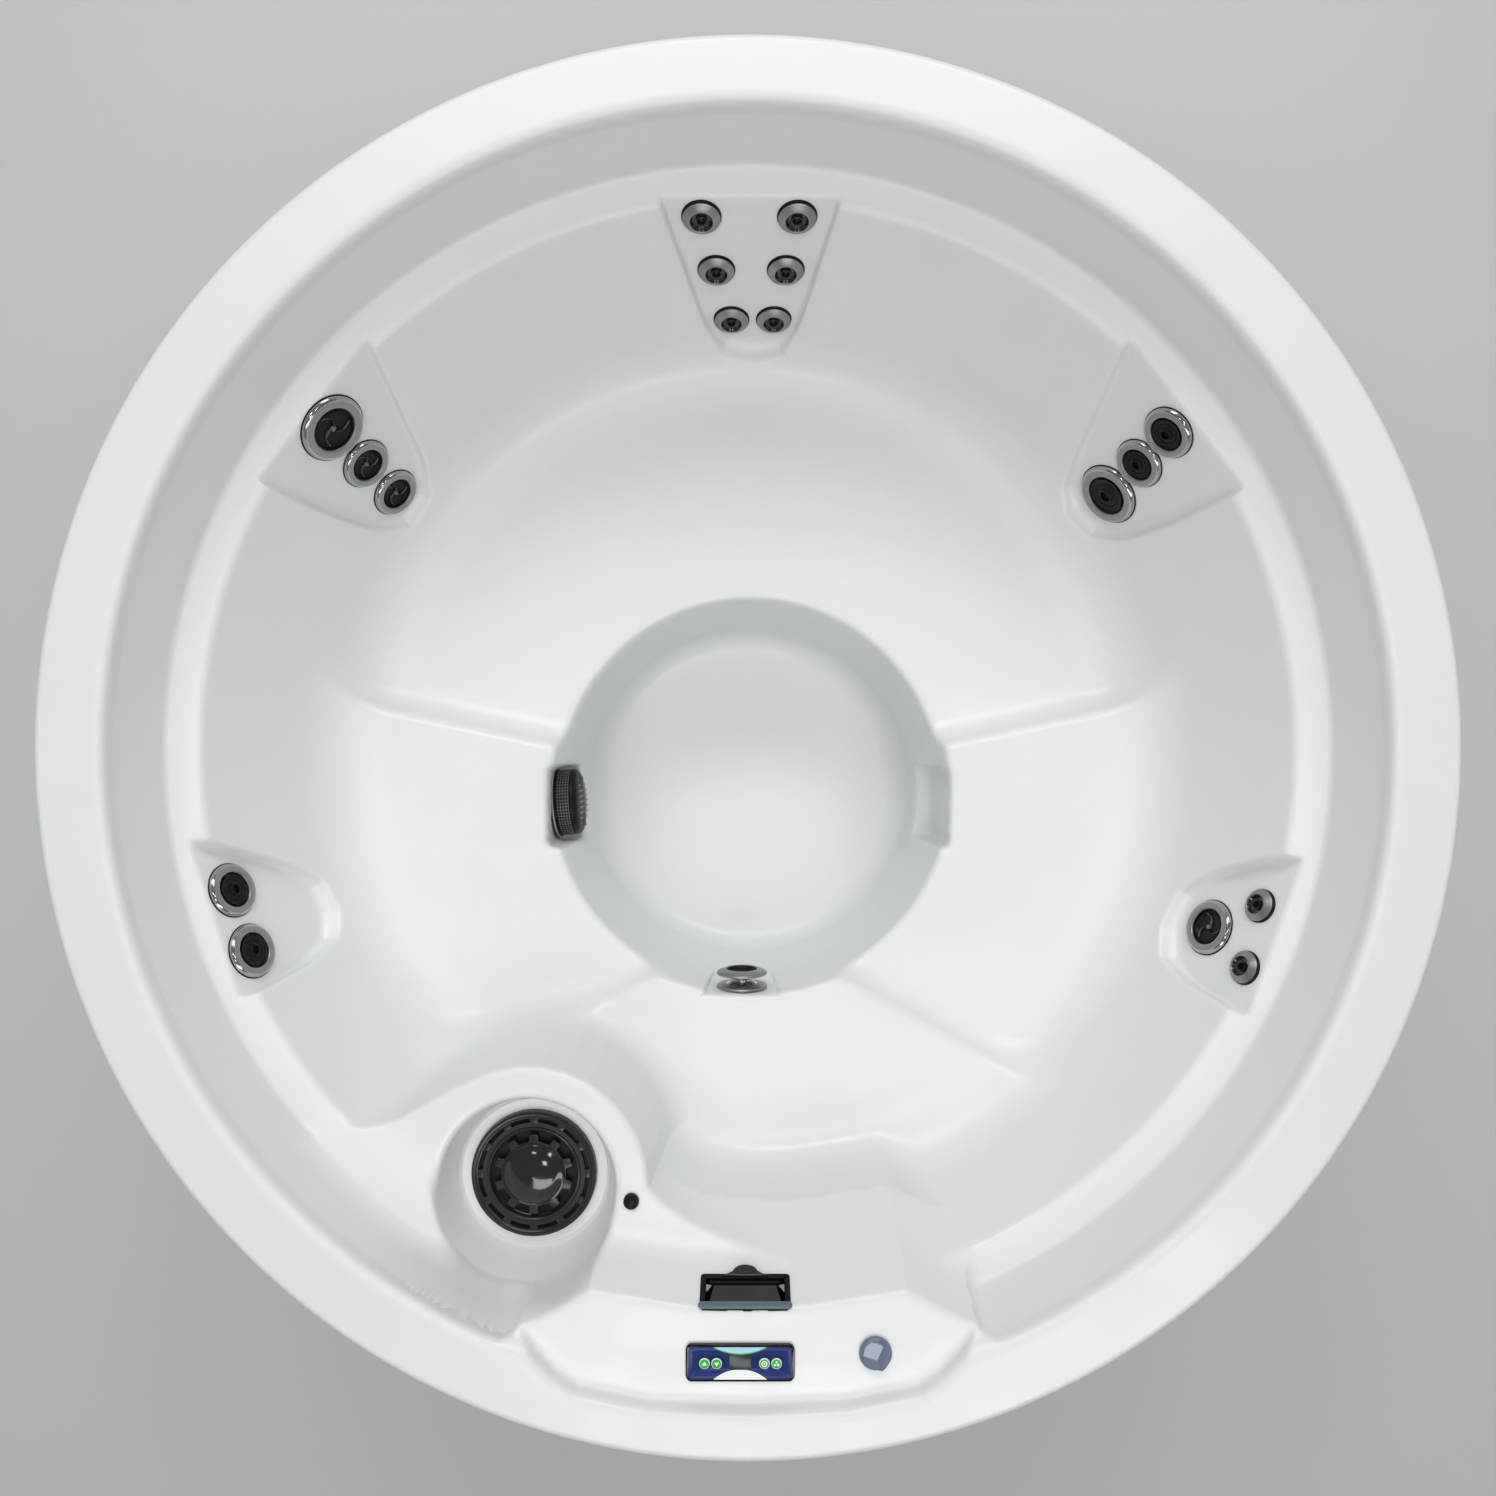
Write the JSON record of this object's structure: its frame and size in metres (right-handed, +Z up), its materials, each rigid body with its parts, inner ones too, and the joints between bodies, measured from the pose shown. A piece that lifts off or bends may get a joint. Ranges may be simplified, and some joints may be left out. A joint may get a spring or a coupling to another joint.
{
  "type": "hot tub",
  "caption": "Round free-standing hot tub with moulded seats, aimable water jets, a lift-out filter, a waterfall spout and a control panel.",
  "frame": {"origin": "centre of the round footprint, on the floor under the base pan", "axes": "+Z up, +Y from the control panel towards the back bench, +X to the right for someone standing at the control panel and facing the tub"},
  "size_m": [1.9798, 1.9798, 0.84],
  "materials": {
    "base_black": "formed plastic sheet, matte",
    "box_steel": "powder-coated sheet steel",
    "bright_trim": "thin polished metal skin on a plastic ring",
    "button_green": "moulded soft green key",
    "cabinet_grey": "embossed composite board, matte",
    "filter_paper": "pleated filter fleece",
    "gloss_black": "injection-moulded black plastic, polished",
    "heater_steel": "drawn stainless tube",
    "insert_black": "injection-moulded black plastic, satin",
    "motor_paint": "powder-coated casting",
    "overlay_blue": "printed film, gloss",
    "panel_frame": "moulded black plastic, polished edge",
    "pump_black": "moulded glass-filled plastic",
    "screw_steel": "stainless pan head",
    "shell_acrylic": "vacuum-formed acrylic, fine leather grain, soft gloss",
    "slate_plastic": "moulded slate-grey plastic, fine texture",
    "smoke_plastic": "moulded smoky plastic, polished",
    "spout_black": "moulded black plastic with clear lip",
    "white_pipe_plastic": "moulded white pipe plastic, satin"
  },
  "bodies": {
    "tub": {"air_valve": "insert_black", "back_jet_bodies": "white_pipe_plastic", "base_pan": "base_black", "cabinet": "cabinet_grey", "control_box": "box_steel", "drain_valve": "insert_black", "filter_canister": "white_pipe_plastic", "foot_jet_body": "bright_trim", "heater_tube": "heater_steel", "ozone_fitting": "insert_black", "panel_bezel": "panel_frame", "panel_overlay": "overlay_blue", "plumbing": "white_pipe_plastic", "power_gland": "insert_black", "pump_motor": "motor_paint", "pump_wet_end": "pump_black", "shell": "shell_acrylic", "side_jet_bodies": "white_pipe_plastic", "suction_body": "white_pipe_plastic", "suction_cover": "gloss_black", "waterfall_spout": "spout_black"},
    "back_jet_1": {"back_jet_1": "bright_trim"},
    "back_jet_2": {"back_jet_2": "bright_trim"},
    "back_jet_3": {"back_jet_3": "bright_trim"},
    "back_jet_4": {"back_jet_4": "bright_trim"},
    "back_jet_5": {"back_jet_5": "bright_trim"},
    "back_jet_6": {"back_jet_6": "bright_trim"},
    "upper_left_jet_1_ring": {"upper_left_jet_1_ring": "bright_trim"},
    "upper_left_jet_1_rotor": {"upper_left_jet_1_rotor": "insert_black"},
    "upper_left_jet_2_ring": {"upper_left_jet_2_ring": "bright_trim"},
    "upper_left_jet_2_rotor": {"upper_left_jet_2_rotor": "insert_black"},
    "upper_left_jet_3_ring": {"upper_left_jet_3_ring": "bright_trim"},
    "upper_left_jet_3_rotor": {"upper_left_jet_3_rotor": "insert_black"},
    "upper_right_jet_1_ring": {"upper_right_jet_1_ring": "bright_trim"},
    "upper_right_jet_1_nozzle": {"upper_right_jet_1_nozzle": "insert_black"},
    "upper_right_jet_2_ring": {"upper_right_jet_2_ring": "bright_trim"},
    "upper_right_jet_2_nozzle": {"upper_right_jet_2_nozzle": "insert_black"},
    "upper_right_jet_3_ring": {"upper_right_jet_3_ring": "bright_trim"},
    "upper_right_jet_3_nozzle": {"upper_right_jet_3_nozzle": "insert_black"},
    "lower_left_jet_1_ring": {"lower_left_jet_1_ring": "bright_trim"},
    "lower_left_jet_1_nozzle": {"lower_left_jet_1_nozzle": "insert_black"},
    "lower_left_jet_2_ring": {"lower_left_jet_2_ring": "bright_trim"},
    "lower_left_jet_2_nozzle": {"lower_left_jet_2_nozzle": "insert_black"},
    "lower_right_jet_1_ring": {"lower_right_jet_1_ring": "bright_trim"},
    "lower_right_jet_1_rotor": {"lower_right_jet_1_rotor": "insert_black"},
    "lower_right_jet_2": {"lower_right_jet_2": "bright_trim"},
    "lower_right_jet_3": {"lower_right_jet_3": "bright_trim"},
    "foot_jet_nozzle": {"foot_jet_nozzle": "bright_trim"},
    "panel_button_1": {"panel_button_1": "button_green"},
    "panel_button_2": {"panel_button_2": "button_green"},
    "panel_button_3": {"panel_button_3": "button_green"},
    "panel_button_4": {"panel_button_4": "button_green"},
    "air_knob": {"air_knob": "smoke_plastic"},
    "filter_lid": {"filter_lid": "slate_plastic", "filter_cartridge": "filter_paper"},
    "filter_cap": {"filter_cap": "gloss_black"},
    "access_panel": {"access_panel": "cabinet_grey", "panel_screws": "screw_steel"},
    "pump_impeller": {"pump_impeller": "pump_black"},
    "drain_cap": {"drain_cap": "insert_black"}
  },
  "joints": [
    {"name": "back_jet_1_turn", "type": "hinge", "parent": "tub", "child": "back_jet_1", "pos_m": [-0.072, 0.82046, 0.67202], "axis": [0, -0.9496, 0.3134], "continuous": true},
    {"name": "back_jet_2_turn", "type": "hinge", "parent": "tub", "child": "back_jet_2", "pos_m": [0.076, 0.82046, 0.67202], "axis": [0, -0.9496, 0.3134], "continuous": true},
    {"name": "back_jet_3_turn", "type": "hinge", "parent": "tub", "child": "back_jet_3", "pos_m": [-0.052, 0.78662, 0.56946], "axis": [0, -0.9496, 0.3134], "continuous": true},
    {"name": "back_jet_4_turn", "type": "hinge", "parent": "tub", "child": "back_jet_4", "pos_m": [0.062, 0.78662, 0.56946], "axis": [0, -0.9496, 0.3134], "continuous": true},
    {"name": "back_jet_5_turn", "type": "hinge", "parent": "tub", "child": "back_jet_5", "pos_m": [-0.029, 0.75089, 0.4612], "axis": [0, -0.9496, 0.3134], "continuous": true},
    {"name": "back_jet_6_turn", "type": "hinge", "parent": "tub", "child": "back_jet_6", "pos_m": [0.045, 0.75089, 0.4612], "axis": [0, -0.9496, 0.3134], "continuous": true},
    {"name": "upper_left_jet_1_valve", "type": "hinge", "parent": "tub", "child": "upper_left_jet_1_ring", "pos_m": [-0.6482, 0.49918, 0.65587], "axis": [0.7524, -0.5794, 0.3134], "range_deg": [-45, 45]},
    {"name": "upper_left_jet_1_spin", "type": "hinge", "parent": "upper_left_jet_1_ring", "child": "upper_left_jet_1_rotor", "pos_m": [-0.6482, 0.49918, 0.65587], "axis": [0.7524, -0.5794, 0.3134], "continuous": true},
    {"name": "upper_left_jet_2_valve", "type": "hinge", "parent": "tub", "child": "upper_left_jet_2_ring", "pos_m": [-0.63155, 0.46995, 0.56186], "axis": [0.7524, -0.5794, 0.3134], "range_deg": [-45, 45]},
    {"name": "upper_left_jet_2_spin", "type": "hinge", "parent": "upper_left_jet_2_ring", "child": "upper_left_jet_2_rotor", "pos_m": [-0.63155, 0.46995, 0.56186], "axis": [0.7524, -0.5794, 0.3134], "continuous": true},
    {"name": "upper_left_jet_3_valve", "type": "hinge", "parent": "tub", "child": "upper_left_jet_3_ring", "pos_m": [-0.61395, 0.44504, 0.47354], "axis": [0.7524, -0.5794, 0.3134], "range_deg": [-45, 45]},
    {"name": "upper_left_jet_3_spin", "type": "hinge", "parent": "upper_left_jet_3_ring", "child": "upper_left_jet_3_rotor", "pos_m": [-0.61395, 0.44504, 0.47354], "axis": [0.7524, -0.5794, 0.3134], "continuous": true},
    {"name": "upper_right_jet_1_valve", "type": "hinge", "parent": "tub", "child": "upper_right_jet_1_ring", "pos_m": [0.65505, 0.49129, 0.65777], "axis": [-0.7534, -0.5781, 0.3134], "range_deg": [-45, 45]},
    {"name": "upper_right_jet_1_aim", "type": "hinge", "parent": "upper_right_jet_1_ring", "child": "upper_right_jet_1_nozzle", "pos_m": [0.65316, 0.48985, 0.65855], "axis": [0.6088, -0.7934, 0], "range_deg": [-10, 10]},
    {"name": "upper_right_jet_2_valve", "type": "hinge", "parent": "tub", "child": "upper_right_jet_2_ring", "pos_m": [0.64061, 0.46635, 0.57705], "axis": [-0.7534, -0.5781, 0.3134], "range_deg": [-45, 45]},
    {"name": "upper_right_jet_2_aim", "type": "hinge", "parent": "upper_right_jet_2_ring", "child": "upper_right_jet_2_nozzle", "pos_m": [0.63873, 0.4649, 0.57783], "axis": [0.6088, -0.7934, 0], "range_deg": [-10, 10]},
    {"name": "upper_right_jet_3_valve", "type": "hinge", "parent": "tub", "child": "upper_right_jet_3_ring", "pos_m": [0.62294, 0.43893, 0.48399], "axis": [-0.7534, -0.5781, 0.3134], "range_deg": [-45, 45]},
    {"name": "upper_right_jet_3_aim", "type": "hinge", "parent": "upper_right_jet_3_ring", "child": "upper_right_jet_3_nozzle", "pos_m": [0.62106, 0.43748, 0.48477], "axis": [0.6088, -0.7934, 0], "range_deg": [-10, 10]},
    {"name": "lower_left_jet_1_valve", "type": "hinge", "parent": "tub", "child": "lower_left_jet_1_ring", "pos_m": [-0.80266, -0.22132, 0.66062], "axis": [0.9026, 0.295, 0.3134], "range_deg": [-45, 45]},
    {"name": "lower_left_jet_1_aim", "type": "hinge", "parent": "lower_left_jet_1_ring", "child": "lower_left_jet_1_nozzle", "pos_m": [-0.80041, -0.22058, 0.6614], "axis": [-0.3107, 0.9505, 0], "range_deg": [-10, 10]},
    {"name": "lower_left_jet_2_valve", "type": "hinge", "parent": "tub", "child": "lower_left_jet_2_ring", "pos_m": [-0.77191, -0.31542, 0.66062], "axis": [0.9026, 0.295, 0.3134], "range_deg": [-45, 45]},
    {"name": "lower_left_jet_2_aim", "type": "hinge", "parent": "lower_left_jet_2_ring", "child": "lower_left_jet_2_nozzle", "pos_m": [-0.76965, -0.31468, 0.6614], "axis": [-0.3107, 0.9505, 0], "range_deg": [-10, 10]},
    {"name": "lower_right_jet_1_valve", "type": "hinge", "parent": "tub", "child": "lower_right_jet_1_ring", "pos_m": [0.75218, -0.29225, 0.58465], "axis": [-0.8946, 0.3186, 0.3134], "range_deg": [-45, 45]},
    {"name": "lower_right_jet_1_spin", "type": "hinge", "parent": "lower_right_jet_1_ring", "child": "lower_right_jet_1_rotor", "pos_m": [0.75218, -0.29225, 0.58465], "axis": [-0.8946, 0.3186, 0.3134], "continuous": true},
    {"name": "lower_right_jet_2_turn", "type": "hinge", "parent": "tub", "child": "lower_right_jet_2", "pos_m": [0.79618, -0.24529, 0.66252], "axis": [-0.8946, 0.3186, 0.3134], "continuous": true},
    {"name": "lower_right_jet_3_turn", "type": "hinge", "parent": "tub", "child": "lower_right_jet_3", "pos_m": [0.76685, -0.33888, 0.67391], "axis": [-0.8946, 0.3186, 0.3134], "continuous": true},
    {"name": "foot_jet_turn", "type": "hinge", "parent": "tub", "child": "foot_jet_nozzle", "pos_m": [-0.011, -0.427, 0.422], "axis": [0, 1, 0], "continuous": true},
    {"name": "panel_button_1_press", "type": "slide", "parent": "tub", "child": "panel_button_1", "axis": [0, 0, -1], "range_m": [0, 0.0015], "stiffness_N_per_m": 400, "springref_m": -0.001},
    {"name": "panel_button_2_press", "type": "slide", "parent": "tub", "child": "panel_button_2", "axis": [0, 0, -1], "range_m": [0, 0.0015], "stiffness_N_per_m": 400, "springref_m": -0.001},
    {"name": "panel_button_3_press", "type": "slide", "parent": "tub", "child": "panel_button_3", "axis": [0, 0, -1], "range_m": [0, 0.0015], "stiffness_N_per_m": 400, "springref_m": -0.001},
    {"name": "panel_button_4_press", "type": "slide", "parent": "tub", "child": "panel_button_4", "axis": [0, 0, -1], "range_m": [0, 0.0015], "stiffness_N_per_m": 400, "springref_m": -0.001},
    {"name": "air_knob_turn", "type": "hinge", "parent": "tub", "child": "air_knob", "pos_m": [0.179, -0.849, 0.812], "axis": [0, 0, 1], "range_deg": [0, 180]},
    {"name": "filter_lift", "type": "slide", "parent": "tub", "child": "filter_lid", "axis": [0, 0, 1], "range_m": [0, 0.35]},
    {"name": "filter_cap_twist", "type": "hinge", "parent": "filter_lid", "child": "filter_cap", "pos_m": [-0.335, -0.666, 0.635], "axis": [0, 0, 1], "range_deg": [0, 60]},
    {"name": "access_panel_removal", "type": "slide", "parent": "tub", "child": "access_panel", "axis": [0, -1, 0], "range_m": [0, 0.15]},
    {"name": "pump_spin", "type": "hinge", "parent": "tub", "child": "pump_impeller", "pos_m": [0.15, -0.69, 0.1303], "axis": [1, 0, 0], "continuous": true},
    {"name": "drain_cap_unscrew", "type": "hinge", "parent": "tub", "child": "drain_cap", "pos_m": [-0.58365, -0.74703, 0.052], "axis": [-0.6157, -0.788, 0], "continuous": true}
  ]
}
